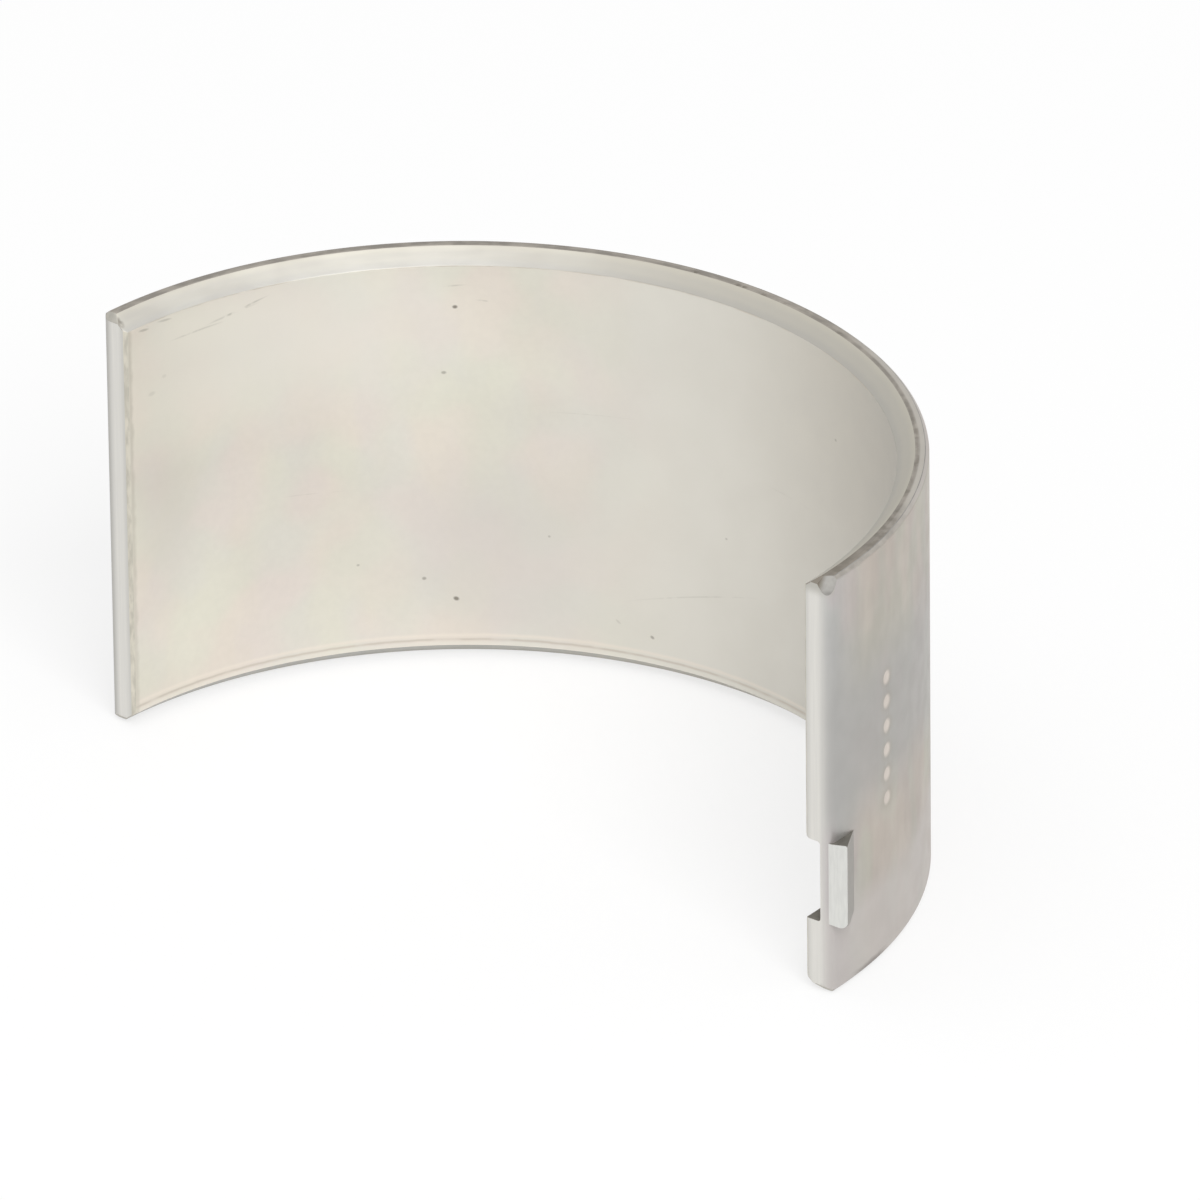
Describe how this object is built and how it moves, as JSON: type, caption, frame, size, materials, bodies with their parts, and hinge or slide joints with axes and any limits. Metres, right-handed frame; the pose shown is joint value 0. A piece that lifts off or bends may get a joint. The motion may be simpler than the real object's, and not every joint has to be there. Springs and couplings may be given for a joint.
{
  "type": "engine bearing shell",
  "caption": "Half-round plain bearing shell with bevelled bore rims, flat joint faces and an off-centre locating tang with its punched pocket.",
  "frame": {"origin": "on the journal axis, at the middle of the shell's width", "axes": "+Z along the journal axis, away from the side face it stands on; +Y from the axis to the crown of the arc, so the joint faces look towards -Y; +X towards the end that has the locating tang"},
  "size_m": [0.0686, 0.0327, 0.0326],
  "materials": {
    "plated_steel": "satin flash plating over a steel back and lining"
  },
  "bodies": {
    "root": {"bearing_shell": "plated_steel"}
  },
  "joints": []
}
